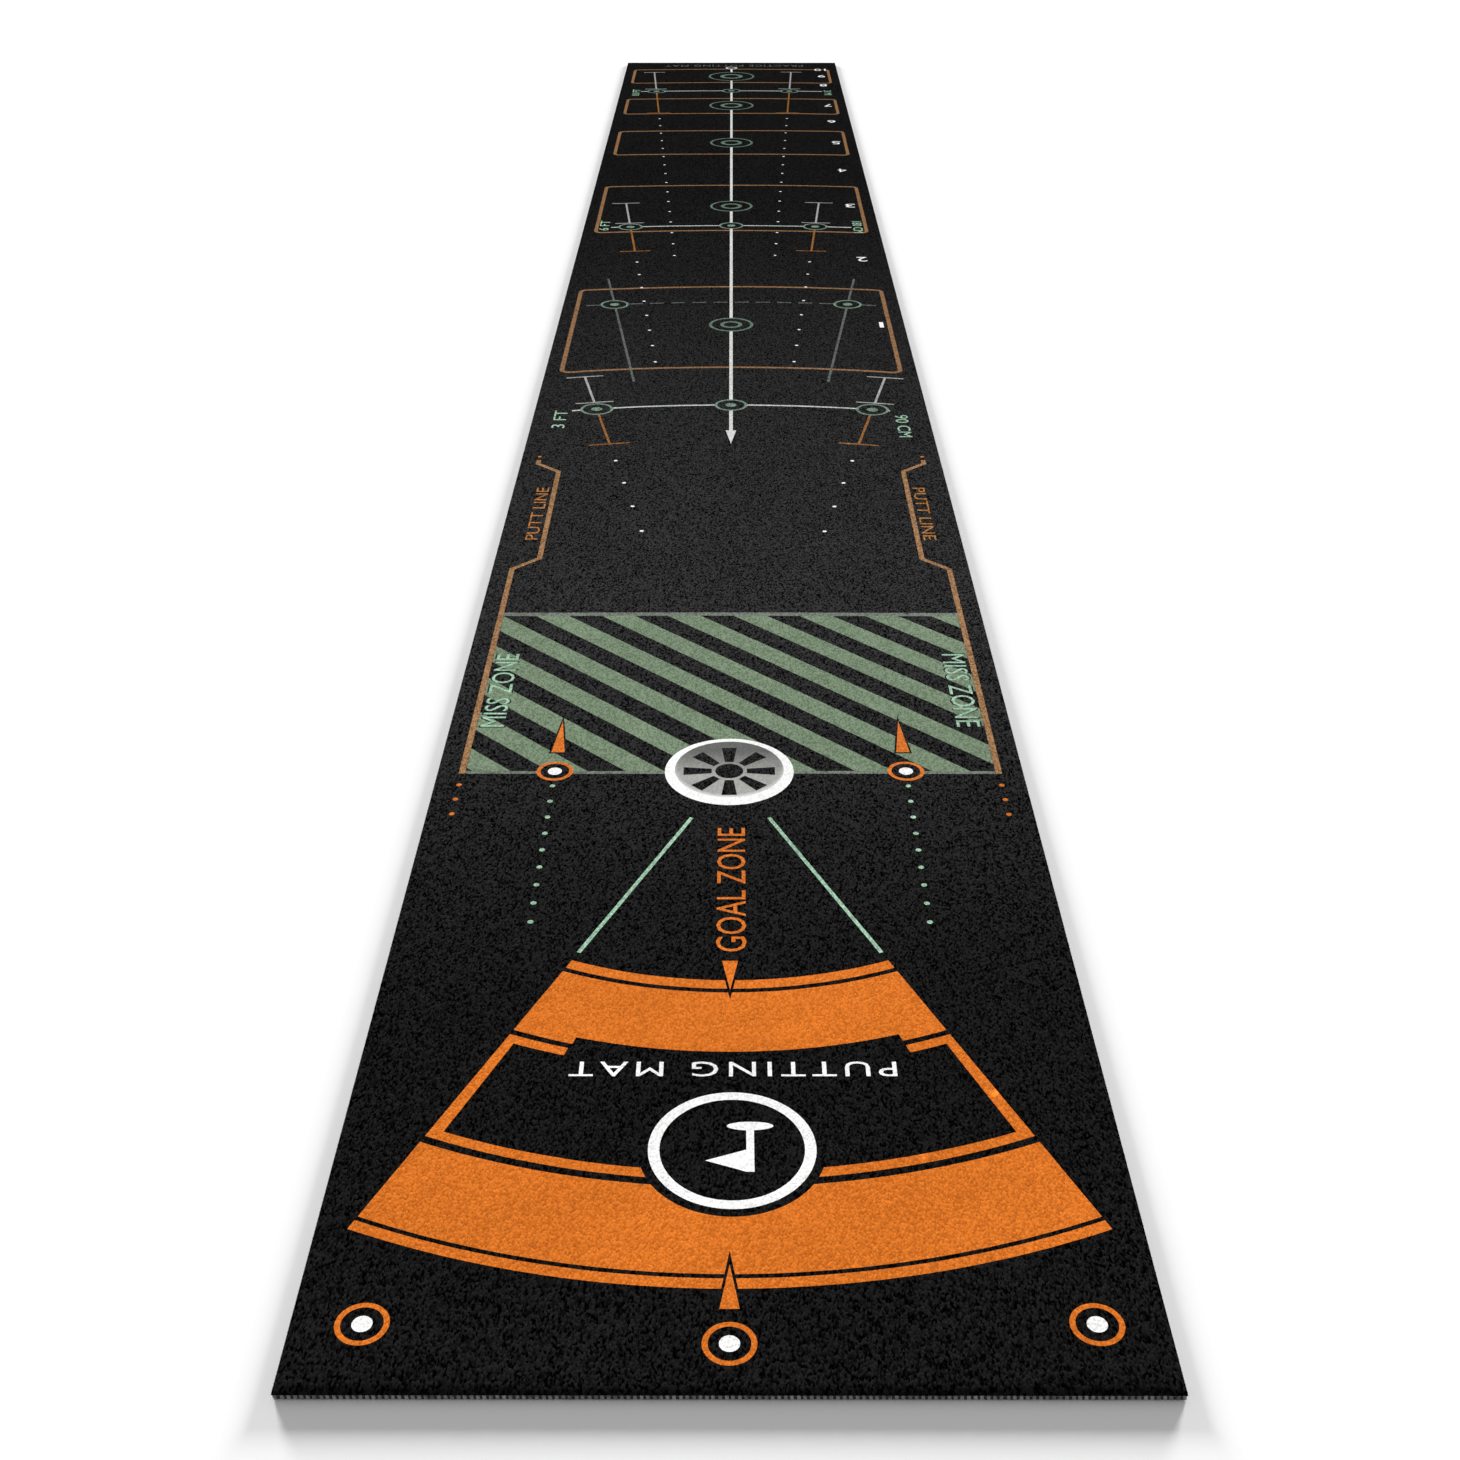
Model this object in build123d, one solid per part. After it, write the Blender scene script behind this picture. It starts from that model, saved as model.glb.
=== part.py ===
from build123d import *
import os
from math import cos, degrees, radians, sin

# A roll-out practice putting mat, lying flat. Millimetres. The origin is the middle of the underside,
# +Z is up, and +Y runs from the goal end of the mat towards the player's end.

# --- the mat's layers, from the floor up ----------------------------------------------------------
LENGTH = 4000.0
WIDTH = 500.0
RUBBER = 2.4          # non-slip rubber sheet
LATEX = 0.3           # pre-coat that locks the tufts and glues the scrim to the rubber
SCRIM = 0.5           # woven primary backing that the pile is tufted into
PILE = 2.8            # cut pile above the scrim
DYE = 1.0             # how deep the dye of the printed layout reaches into the pile
SCRIM_Z = RUBBER + LATEX
PILE_Z = SCRIM_Z + SCRIM
TOP = PILE_Z + PILE

# --- the overlock stitch round the four edges -----------------------------------------------------
WALL = 0.8            # looper threads lying against the cut edge
LEG = 4.0             # how far the loopers reach in over the scrim and under the rubber
THREAD = 0.5          # height of the threads that lie flat
NEEDLE = 0.6          # width of the needle thread's run along the inner end of the loopers
STITCH_TOP = 4.4      # the pile spreads out over the stitch above this height
NEEDLE_IN = WALL + LEG

# --- the layout dyed into the pile, measured along the mat from the goal end ----------------------
GOAL_AT = 661.0       # centre of the target disc, and of every arc on the mat
GOAL_Y = GOAL_AT - LENGTH / 2
CLEAR = 2.0           # undyed gap round a pointer where it crosses another mark

GOAL_HALF_ANGLE = 23.2
GOAL_BAND = (502.0, 573.7)
GOAL_BACK_LINE = (577.0, 585.0)
GOAL_NEAR_BAND = (306.7, 379.5)
GOAL_FRONT_LINE = (292.5, 302.3)
PANEL = (384.5, 496.0)
PANEL_LINE = 8.0
NOTCH_X = 5.0                   # the notch for the lettering stands a little off the middle
NOTCH_WIDTH, NOTCH_RADIUS, NOTCH_DEPTH = 224.0, 372.0, 100.0
PANEL_GAP_WIDTH, PANEL_GAP_DEPTH = 232.0, 60.0
POINTER_WIDTH = 11.7            # at its base
POINTER_TAIL = 11.0             # length of the undyed tip in front of a pointer

ROUNDEL_X, ROUNDEL_AT, ROUNDEL_RADIUS, ROUNDEL_LINE = 1.5, 193.8, 53.6, 7.3
ROUNDEL_CLEAR = 60.0
FLAG_AT = ROUNDEL_AT + 1.0
FLAG = [(-14, -20), (-9, -20), (-9, 2), (17, 12), (-9, 22), (-14, 22)]   # a pole and its pennant
FLAG_FOOT, FLAG_FOOT_SIZE = (-11.5, -20.0), (15.0, 4.05)                 # the hole's ellipse

DISC_X, DISC_RADIUS, DISC_HUB_RADIUS = -1.0, 55.0, 12.0
DISC_FACE_RADIUS, DISC_FACE_SHIFT = 46.5, 3.5        # the rim is wider on the near side
SLOT_INNER, SLOT_OUTER = (15.0, 7.5), (39.0, 13.0)   # distance from the centre and width there
SLOTS = 8

RING_RADIUS, RING_LINE, RING_DOT = 15.7, 3.4, 6.0
SPOT_X = 150.0
BALL_SPOTS = [(-208.7, 49.0), (208.7, 49.0), (0.0, 35.3), (-SPOT_X, GOAL_AT), (SPOT_X, GOAL_AT)]

SHORT_HALF_WIDTH, SHORT_FROM, SHORT_TO = 226.0, 656.5, 969.0
SHORT_NEAR_LINE, SHORT_FAR_LINE = 4.5, 7.5
STRIPE_PITCH = 65.5             # across the mat; the stripes run at 45 degrees, half dyed, half not
STRIPE_START = 637.0            # across plus along, where stripe number 0 begins
STRIPES = range(-4, 10)

SIDE_X, SIDE_INNER_X, SIDE_LINE = 229.0, 202.7, 5.5
SIDE_ROUTE = [(SIDE_X, 656.5), (SIDE_X, 1073.0), (SIDE_INNER_X, 1100.0), (SIDE_INNER_X, 1346.7),
              (SIDE_X, 1371.7), (SIDE_X, 1383.0)]

AIM_LINE_FROM, AIM_LINE_TO, AIM_LINE = (31.7, 586.7), (111.0, 401.7), 3.2
DOT = 2.3
GOAL_DOTS = [440.0 + 24.6 * k for k in range(9)]
SIDE_DOTS = [592.0, 615.0, 638.0, 1394.0]

CENTRE_LINE = 4.6
CENTRE_FROM, CENTRE_TO = 1484.0, 3914.0
ARROW = (13.0, 46.0)            # width and length of the centre line's head
TAIL_AT, TAIL_RADIUS, TAIL_LINE, TAIL_WIDTH = 3926.0, 14.0, 4.0, 26.0

# each distance line: its radius, the left and right angle of its gates, then the radii of the
# gate's orange bar, its near white bar and its far white bar
LINES = [(915.0, (10.78, 11.36), (790.0, 940.0, 1042.0)),
         (1808.0, (5.43, 4.52), (1654.0, 1833.0, 1971.0)),
         (2987.0, (3.24, 2.50), (2748.0, 3014.0, 3216.0))]
LINE_HALF_WIDTH, LINE_THICK = 204.0, 4.2
GATE_BAR, GATE_LINE = 49.0, 3.1
MARK_RADIUS, MARK_LINE, MARK_DOT = 21.0, 3.4, 7.0

DOT_PITCH = 71.0
# each dotted run towards a gate: first radius, number of dots, left and right angle
DOT_RUNS = [(521.0, 4, (10.78, 11.36)), (1092.0, 8, (5.43, 4.52)), (1623.0, 16, (3.24, 2.50))]

# each lane box: inner and outer radius, and the ring marker inside it: radius from the goal, size
BOXES = [(1062.0, 1447.0, 1255.0, 32.0), (1773.0, 2098.0, 1941.0, 37.5), (2349.0, 2569.0, 2454.0, 42.7),
         (2736.0, 2902.0, 2823.0, 48.0), (3082.0, 3253.0, 3159.5, 53.0)]
BOX_HALF_WIDTH, BOX_LINE, BOX_CORNER = 231.0, 6.0, 13.0
BOX_SPREAD = 30.0               # degrees each way, wide enough to reach past the box's sides
LANE_RING_LINE = 4.2
INNER_RING, INNER_RING_LINE = 0.5, 0.17              # as shares of the outer ring's radius

FAN_ANGLE, FAN_FROM, FAN_TO, FAN_LINE = 7.3, 1012.0, 1500.0, 3.4
FAN_ARC = 1364.0
DASH, DASH_PITCH, DASH_THICK, DASHES = 21.0, 31.6, 4.0, 14


def spot(x, along):
    """A place on the mat, from its distance across and its distance from the goal end."""
    return Pos(x, along - LENGTH / 2)


def polar(radius, angle):
    """A point at a distance from the goal, turned from the mat's length: left is negative."""
    return (radius * sin(radians(angle)), GOAL_AT + radius * cos(radians(angle)))


def arc_band(inner, outer, from_deg, to_deg):
    """Part of a ring about the goal, between two directions counted from +X."""
    near = CenterArc((0, GOAL_Y), inner, from_deg, to_deg - from_deg)
    far = CenterArc((0, GOAL_Y), outer, from_deg, to_deg - from_deg)
    return make_face([near, far, Line(near @ 0, far @ 0), Line(near @ 1, far @ 1)])


def goal_band(radii, half_angle=GOAL_HALF_ANGLE):
    return arc_band(radii[0], radii[1], 270 - half_angle, 270 + half_angle)


def stroke(start, end, width):
    """A straight line of a given width between two places."""
    run = Vector(end[0] - start[0], end[1] - start[1])
    middle = ((start[0] + end[0]) / 2, (start[1] + end[1]) / 2)
    turn = Vector(1, 0).get_signed_angle(run)
    return spot(*middle) * Rot(0, 0, turn) * Rectangle(run.length, width)


def ring(x, along, radius, line):
    return spot(x, along) * (Circle(radius) - Circle(radius - line))


def dot(x, along, radius=DOT):
    return spot(x, along) * Circle(radius)


def pointer(x, base, tip, grow=0.0):
    """A slim triangle from its base to its tip, or the undyed outline that it stands in."""
    sign = 1 if tip > base else -1
    half = POINTER_WIDTH / 2 + grow
    foot, end = base - sign * grow, tip + sign * (POINTER_TAIL if grow else 0)
    flat = Polyline((x - half, foot), (x + half, foot), (x, end), close=True)
    return spot(0, 0) * make_face(flat)


def route(points, width):
    """A line of a given width that follows corner points."""
    return spot(0, 0) * trace(Polyline(*points), width)


def together(shapes):
    return Sketch() + list(shapes)


# --- target disc and roundel ----------------------------------------------------------------------
def disc_slot():
    (r0, w0), (r1, w1) = SLOT_INNER, SLOT_OUTER
    return make_face(Polyline((r0, -w0 / 2), (r1, -w1 / 2), (r1, w1 / 2), (r0, w0 / 2), close=True))


slots = together([Rot(0, 0, 360 / SLOTS * k) * disc_slot() for k in range(SLOTS)])
target_whole = dot(DISC_X, GOAL_AT, DISC_RADIUS)
target_face = dot(DISC_X, GOAL_AT + DISC_FACE_SHIFT, DISC_FACE_RADIUS)
target_rim = target_whole - target_face
target_face = target_face - dot(DISC_X, GOAL_AT, DISC_HUB_RADIUS) - spot(DISC_X, GOAL_AT) * slots

roundel_ring = ring(ROUNDEL_X, ROUNDEL_AT, ROUNDEL_RADIUS, ROUNDEL_LINE)
flag = together([make_face(Polyline(*FLAG, close=True)), Pos(*FLAG_FOOT) * Ellipse(*FLAG_FOOT_SIZE)])
roundel_flag = spot(ROUNDEL_X, FLAG_AT) * Rot(0, 0, 180) * flag
roundel_clear = dot(ROUNDEL_X, ROUNDEL_AT, ROUNDEL_CLEAR)

# --- pointers and ball spots ----------------------------------------------------------------------
POINTERS = [(0.0, 60.7, 95.0), (0.0, 391.7, 357.0), (-SPOT_X, 693.0, 748.0), (SPOT_X, 693.0, 748.0)]
pointers = together([pointer(*p) for p in POINTERS])
pointer_clear = together([pointer(*p, grow=CLEAR) for p in POINTERS])
ball_rings = together([ring(*p, RING_RADIUS, RING_LINE) for p in BALL_SPOTS])
ball_dots = together([dot(*p, RING_DOT) for p in BALL_SPOTS])
ball_clear = together([dot(*p, RING_RADIUS) for p in BALL_SPOTS])

# --- orange goal ----------------------------------------------------------------------------------
notch = spot(NOTCH_X, GOAL_AT - NOTCH_RADIUS - NOTCH_DEPTH / 2) * Rectangle(NOTCH_WIDTH, NOTCH_DEPTH)
notch = notch - goal_band((NOTCH_RADIUS / 2, NOTCH_RADIUS), 2 * GOAL_HALF_ANGLE)
goal_bands = goal_band(GOAL_BAND) - roundel_clear + (goal_band(GOAL_NEAR_BAND) - notch)
goal_bands = goal_bands - pointer_clear
line_angle = degrees(PANEL_LINE * 2 / sum(PANEL))
panel_hole = goal_band((PANEL[0] + PANEL_LINE, PANEL[1] - PANEL_LINE), GOAL_HALF_ANGLE - line_angle)
panel_gap = spot(NOTCH_X, GOAL_AT - PANEL[0]) * Rectangle(PANEL_GAP_WIDTH, PANEL_GAP_DEPTH)
goal_lines = goal_band(PANEL) - panel_hole - panel_gap - roundel_clear
goal_lines = goal_lines + goal_band(GOAL_BACK_LINE) + goal_band(GOAL_FRONT_LINE) - pointer_clear


# --- green short-putt zone ------------------------------------------------------------------------
def short_row(low, high):
    """A plain row across the short-putt zone."""
    return spot(0, (low + high) / 2) * Rectangle(SHORT_HALF_WIDTH * 2, high - low)


def stripe(k):
    """One 45 degree stripe of the hatch, long enough to cross the whole zone."""
    low, high = SHORT_FROM, SHORT_TO
    left = STRIPE_START + k * STRIPE_PITCH
    right = left + STRIPE_PITCH / 2
    corners = [(left - low, low), (right - low, low), (right - high, high), (left - high, high)]
    return spot(0, 0) * make_face(Polyline(*corners, close=True))


short_marks = together([target_whole, pointer_clear, ball_clear])
short_inside = short_row(SHORT_FROM + SHORT_NEAR_LINE, SHORT_TO - SHORT_FAR_LINE)
short_stripes = (together([stripe(k) for k in STRIPES]) & short_inside) - short_marks
short_edges = together([short_row(SHORT_FROM, SHORT_FROM + SHORT_NEAR_LINE),
                        short_row(SHORT_TO - SHORT_FAR_LINE, SHORT_TO)]) - short_marks

# --- lines and dots along the mat -----------------------------------------------------------------
side_lines = together([route([(s * x, y) for x, y in SIDE_ROUTE], SIDE_LINE) for s in (-1, 1)])
aim_ends = [[(s * x, y) for x, y in (AIM_LINE_FROM, AIM_LINE_TO)] for s in (-1, 1)]
aim_lines = together([stroke(*ends, AIM_LINE) for ends in aim_ends])
goal_dots = together([dot(s * SPOT_X, y) for s in (-1, 1) for y in GOAL_DOTS])
side_dots = together([dot(s * SIDE_X, y) for s in (-1, 1) for y in SIDE_DOTS])
putt_dots = together([dot(*polar(first + DOT_PITCH * k, side * angle))
                      for first, count, angles in DOT_RUNS for side, angle in zip((-1, 1), angles)
                      for k in range(count)])

# --- distance lines with their ring marks and gates -----------------------------------------------
distance_marks, distance_clear, distance_arcs, white_gates, orange_gates = [], [], [], [], []


def gate_bar(radius, angle):
    x, y = polar(radius, angle)
    return spot(x, y) * Rot(0, 0, -angle) * Rectangle(GATE_BAR, GATE_LINE)


for radius, angles, (orange, near, far) in LINES:
    reach = degrees(LINE_HALF_WIDTH / radius)
    distance_arcs.append(arc_band(radius - LINE_THICK / 2, radius + LINE_THICK / 2, 90 - reach, 90 + reach))
    for angle in (-angles[0], 0.0, angles[1]):
        x, y = polar(radius, angle)
        distance_marks += [ring(x, y, MARK_RADIUS, MARK_LINE), dot(x, y, MARK_DOT)]
        distance_clear.append(dot(x, y, MARK_RADIUS))
    for angle in (-angles[0], angles[1]):
        white_gates += [gate_bar(near, angle), gate_bar(far, angle)]
        white_gates.append(stroke(polar(near, angle), polar(far, angle), GATE_LINE))
        orange_gates.append(gate_bar(orange, angle))
        orange_gates.append(stroke(polar(orange, angle), polar(radius - MARK_RADIUS, angle), GATE_LINE))

# --- lane boxes, their ring markers, and the fan of rays over the first box -----------------------
box_frames, box_rings, box_clear = [], [], []
for inner, outer, middle, size in BOXES:
    whole = arc_band(inner, outer, 90 - BOX_SPREAD, 90 + BOX_SPREAD)
    whole = whole & (spot(0, GOAL_AT + middle) * Rectangle(BOX_HALF_WIDTH * 2, LENGTH / 2))
    whole = fillet(whole.vertices(), BOX_CORNER)
    box_frames.append(whole - offset(whole, -BOX_LINE))
    box_rings.append(ring(0, GOAL_AT + middle, size, LANE_RING_LINE))
    box_rings.append(ring(0, GOAL_AT + middle, size * INNER_RING, size * INNER_RING_LINE))
    box_clear.append(dot(0, GOAL_AT + middle, size))

fan_rays, fan_marks, fan_clear = [], [], []
for angle in (-FAN_ANGLE, FAN_ANGLE):
    x, y = polar(FAN_ARC, angle)
    fan_rays.append(stroke(polar(FAN_FROM, angle), polar(FAN_TO, angle), FAN_LINE))
    fan_marks += [ring(x, y, MARK_RADIUS, MARK_LINE), dot(x, y, MARK_DOT)]
    fan_clear.append(dot(x, y, MARK_RADIUS))
dash_step = degrees(DASH_PITCH / FAN_ARC)
dash_half = degrees(DASH / 2 / FAN_ARC)
fan_dashes = [arc_band(FAN_ARC - DASH_THICK / 2, FAN_ARC + DASH_THICK / 2,
                       90 + dash_step * (k + 0.5) - dash_half, 90 + dash_step * (k + 0.5) + dash_half)
              for k in range(-DASHES // 2, DASHES // 2)]

centre_line = stroke((0, CENTRE_FROM), (0, CENTRE_TO), CENTRE_LINE)
head = Polyline((-ARROW[0] / 2, CENTRE_FROM), (ARROW[0] / 2, CENTRE_FROM), (0, CENTRE_FROM - ARROW[1]),
                close=True)
tail_room = spot(0, TAIL_AT) * Rectangle(2 * TAIL_RADIUS, TAIL_WIDTH)
tail = ring(0, TAIL_AT, TAIL_RADIUS, TAIL_LINE) & tail_room
centre_line = together([centre_line, spot(0, 0) * make_face(head), tail])

# --- every dyed zone, most important first: a zone gives way to the ones before it ----------------
round_marks = together(distance_clear + box_clear + fan_clear)
zones = {
    "white_target_rim": target_rim,
    "grey_target_face": target_face,
    "white_roundel_ring": roundel_ring,
    "white_roundel_flag": roundel_flag,
    "white_ball_spots": ball_dots,
    "orange_ball_rings": ball_rings,
    "orange_pointers": pointers,
    "green_distance_marks": together(distance_marks),
    "green_lane_marks": together(box_rings),
    "green_fan_marks": together(fan_marks),
    "white_centre_arrow": centre_line - round_marks,
    "white_gates": together(white_gates) - round_marks,
    "white_putt_dots": putt_dots,
    "white_distance_lines": together(distance_arcs) - round_marks,
    "orange_goal_bands": goal_bands,
    "orange_goal_lines": goal_lines,
    "green_aim_lines": aim_lines,
    "green_fan_rays": together(fan_rays) - round_marks,
    "grey_fan_dashes": together(fan_dashes) - round_marks,
    "orange_side_lines": side_lines,
    "orange_lane_boxes": together(box_frames) - round_marks,
    "orange_gates": together(orange_gates) - round_marks,
    "green_goal_dots": goal_dots,
    "orange_side_dots": side_dots,
    "green_short_stripes": short_stripes,
    "grey_short_edges": short_edges,
}
taken = None
for name, zone in zones.items():
    if taken is not None:
        zone = zone - taken
    zones[name] = zone
    taken = together(zone.faces()) if taken is None else together([*taken.faces(), *zone.faces()])


# --- layers and edge stitching --------------------------------------------------------------------
def slab(inset, low, high):
    """A flat layer of the mat, its outline a given distance inside the mat's edge."""
    plate = Rectangle(WIDTH - 2 * inset, LENGTH - 2 * inset)
    return Pos(0, 0, low) * extrude(plate, high - low)


parts = {
    "rubber_backing": slab(NEEDLE_IN, 0, THREAD) + slab(WALL, THREAD, RUBBER),
    "latex_coat": slab(WALL, RUBBER, SCRIM_Z),
    "primary_scrim": slab(WALL, SCRIM_Z, PILE_Z),
}
pile_foot = slab(WALL, PILE_Z, STITCH_TOP - THREAD)
pile_foot = pile_foot + slab(NEEDLE_IN + NEEDLE, STITCH_TOP - THREAD, STITCH_TOP)
pile_top = Pos(0, 0, TOP - DYE) * extrude(Rectangle(WIDTH, LENGTH) - taken, DYE)
parts["pile_face"] = pile_foot + slab(0, STITCH_TOP, TOP - DYE) + pile_top
for name, zone in zones.items():
    parts[name] = Pos(0, 0, TOP - DYE) * extrude(zone, DYE)


def edge_bar(side, out, depth, low, high):
    """A straight bar along one edge: it starts a distance in from the edge and is so deep."""
    across = side in ("left", "right")
    half, run = (WIDTH / 2, LENGTH) if across else (LENGTH / 2, WIDTH)
    trim = out + depth if across else out
    middle = half - out - depth / 2
    size = (depth, run - 2 * trim) if across else (run - 2 * trim, depth)
    sign = -1 if side in ("left", "goal") else 1
    place = Pos(sign * middle, 0, low) if across else Pos(0, sign * middle, low)
    return place * extrude(Rectangle(*size), high - low)


for side in ("goal", "player", "left", "right"):
    wall = edge_bar(side, 0, WALL, 0, STITCH_TOP)
    parts[side + "_edge_upper_looper"] = wall + edge_bar(side, WALL, LEG, STITCH_TOP - THREAD, STITCH_TOP)
    parts[side + "_edge_lower_looper"] = edge_bar(side, WALL, LEG, 0, THREAD)
    parts[side + "_edge_needle_thread"] = edge_bar(side, NEEDLE_IN, NEEDLE, STITCH_TOP - THREAD, STITCH_TOP)

os.makedirs("parts", exist_ok=True)
for name, solid in parts.items():
    export_step(solid, f"parts/{name}.step")
    print(name, round(solid.volume), "mm3", len(solid.solids()), "solids")
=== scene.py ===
import math

import bpy
import numpy as np
from mathutils.geometry import delaunay_2d_cdt
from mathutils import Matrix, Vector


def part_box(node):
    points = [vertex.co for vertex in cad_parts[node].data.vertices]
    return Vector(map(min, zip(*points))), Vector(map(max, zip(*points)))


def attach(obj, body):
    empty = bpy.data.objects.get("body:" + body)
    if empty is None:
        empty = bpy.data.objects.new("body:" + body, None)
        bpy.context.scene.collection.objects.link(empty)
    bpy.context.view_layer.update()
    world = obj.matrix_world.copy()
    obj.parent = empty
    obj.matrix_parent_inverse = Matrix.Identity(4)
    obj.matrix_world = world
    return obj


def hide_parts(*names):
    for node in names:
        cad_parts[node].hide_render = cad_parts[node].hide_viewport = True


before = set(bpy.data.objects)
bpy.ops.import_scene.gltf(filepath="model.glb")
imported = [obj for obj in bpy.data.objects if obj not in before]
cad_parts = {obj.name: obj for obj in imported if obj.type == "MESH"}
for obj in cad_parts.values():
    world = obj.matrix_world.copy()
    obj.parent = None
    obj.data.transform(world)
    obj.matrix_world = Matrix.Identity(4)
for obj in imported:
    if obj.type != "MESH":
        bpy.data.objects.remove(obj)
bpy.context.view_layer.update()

MM = 0.001
RANDOM = np.random.default_rng(41)

# --- sizes read from the frame, in millimetres ---------------------------------------------------------
PILE_BOX = np.array(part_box("pile_face")) / MM
HALF_WIDTH, HALF_LENGTH = PILE_BOX[1][:2]
PILE_FOOT, PILE_TOP = PILE_BOX[0][2], PILE_BOX[1][2]
DYE_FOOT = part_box("orange_goal_bands")[0][2] / MM
STITCH_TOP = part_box("goal_edge_upper_looper")[1][2] / MM
STITCH_REACH = HALF_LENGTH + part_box("goal_edge_needle_thread")[1][1] / MM
STITCH_PITCH = 3.575
STITCH_WANDER = 0.12            # how unevenly the stitches follow each other
CORNER_ROOM = 1.2               # where the last stitch stays clear of the corner
SIDES = ("goal", "player", "left", "right")

# --- the pile's relief, in millimetres -----------------------------------------------------------------
MAP_STEP, EDGE_STEP = 6.0, 4.0
EDGE_ROWS = (0.9, 2.2, 4.2)     # how far in the rows of points lie that the rounded rim needs
WAVE_ROOM, WAVE_CALM = 0.2, 6.0  # how far the tips lie below the frame's top, and where waves fade out
RIM_DROP, RIM_REACH = 0.9, 4.2  # how far the tips drop at the rim, and over what width
# along the mat from its middle: where the painted sheen starts, is strongest and ends; its share of grey
SHEEN_FROM, SHEEN_MOST, SHEEN_TO, SHEEN_GREY = -1750.0, -1000.0, 850.0, 0.059

# --- the printed layout, in millimetres: across from the middle, along from the goal end ---------------
GOAL_AT = 661.0
CLEAR = 2.0
GOAL_ANGLE = 23.2
PANEL_IN, PANEL_OUT, PANEL_LINE = 384.5, 496.0, 8.0
PANEL_GAP, PANEL_GAP_LEFT, PANEL_GAP_RIGHT = 380.0, 180 - 18.2, 180 + 16.7
NOTCH_IN, NOTCH_OUT, NOTCH_LEFT, NOTCH_RIGHT = 372.0, 380.5, 180 - 18.2, 180 + 16.5
GOAL_LINES = [(577.0, 585.0), (292.5, 302.3)]
GOAL_BANDS = [(502.0, 573.7), (306.7, 379.5)]

ROUNDEL_X, ROUNDEL_AT, ROUNDEL_RADIUS, ROUNDEL_LINE, ROUNDEL_CLEAR = 1.5, 193.8, 53.6, 7.3, 60.0
FLAG_AT = 194.8
FLAG = [(-14, -20), (-9, -20), (-9, 2), (17, 12), (-9, 22), (-14, 22)]
FLAG_FOOT, FLAG_FOOT_RADIUS, FLAG_FOOT_SQUASH = (-11.5, -20.0), 15.0, 0.27

DISC_X, DISC_RADIUS, DISC_HUB_RADIUS = -1.0, 55.0, 12.0
DISC_FACE_RADIUS, DISC_FACE_SHIFT = 46.5, 3.5
DISC_SLOTS, DISC_SLOT = 8, [(15, -3.75), (39, -6.5), (39, 6.5), (15, 3.75)]

SPOT_X = 150.0
BALL_SPOTS = [(-208.7, 49), (208.7, 49), (0, 35.3), (-SPOT_X, GOAL_AT), (SPOT_X, GOAL_AT)]
SPOT_RADIUS, SPOT_LINE, SPOT_DOT = 15.7, 3.4, 6.0
POINTERS = [(0, 60.7, 95), (0, 391.7, 357), (-SPOT_X, 693, 748), (SPOT_X, 693, 748)]
POINTER_HALF_WIDTH, POINTER_TAIL = 5.85, 11.0

SHORT_HALF_WIDTH, SHORT_FROM, SHORT_TO = 226.0, 656.5, 969.0
SHORT_NEAR_LINE, SHORT_FAR_LINE = 4.5, 7.5
STRIPE_PITCH, STRIPE_START, STRIPES = 65.5, 637.0, range(-4, 9)

SIDE_LINE, SIDE_X, SIDE_INNER_X = 5.5, 229.0, 202.7
SIDE_ROUTE = [(SIDE_X, 656.5), (SIDE_X, 1073), (SIDE_INNER_X, 1100), (SIDE_INNER_X, 1346.7),
              (SIDE_X, 1371.7), (SIDE_X, 1383)]
SIDE_DOTS = (592.0, 615.0, 638.0, 1394.0)
GOAL_DOTS = [440.0 + 24.6 * k for k in range(9)]
DOT = 2.3
AIM_FROM, AIM_TO, AIM_LINE = (31.7, 586.7), (111.0, 401.7), 3.2

CENTRE_HALF_LINE, CENTRE_FROM, CENTRE_TO = 2.3, 1484.0, 3914.0
ARROW_HALF_WIDTH, ARROW_TIP = 6.5, 1438.0
TAIL_AT, TAIL_RADIUS, TAIL_LINE = 3926.0, 14.0, 4.0
TAIL_CUT = (-16, 16, 3939.0, 3942.0)

MARK_RADIUS, MARK_LINE, MARK_DOT = 21.0, 3.4, 7.0
GATE_LINE, GATE_HALF_BAR = 3.1, 24.5
LINE_HALF_WIDTH, LINE_HALF_THICK = 204.0, 2.1
# radius of each distance line, left and right angle of its gates, and the radii of the gate's bars
LINES = [(915.0, (-10.78, 11.36), (790.0, 940.0, 1042.0)),
         (1808.0, (-5.43, 4.52), (1654.0, 1833.0, 1971.0)),
         (2987.0, (-3.24, 2.50), (2748.0, 3014.0, 3216.0))]
DOT_PITCH = 71.0
DOT_RUNS = [(521.0, 4, (-10.78, 11.36)), (1092.0, 8, (-5.43, 4.52)), (1623.0, 16, (-3.24, 2.50))]

BOX_HALF_WIDTH, BOX_LINE, BOX_CORNER = 231.0, 6.0, 13.0
# inner and outer radius of each lane box, then the radius from the goal and the size of its ring
BOXES = [(1062.0, 1447.0, 1255.0, 32.0), (1773.0, 2098.0, 1941.0, 37.5), (2349.0, 2569.0, 2454.0, 42.7),
         (2736.0, 2902.0, 2823.0, 48.0), (3082.0, 3253.0, 3159.5, 53.0)]
LANE_RING_LINE, INNER_RING, INNER_RING_LINE = 4.2, 0.5, 0.17
FAN_ANGLES, FAN_FROM, FAN_TO, FAN_LINE = (-7.3, 7.3), 1012.0, 1500.0, 3.4
FAN_ARC, DASH_PITCH, HALF_DASH, DASH_HALF_THICK, DASHES = 1364.0, 31.6, 10.5, 2.0, range(-7, 7)

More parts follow.
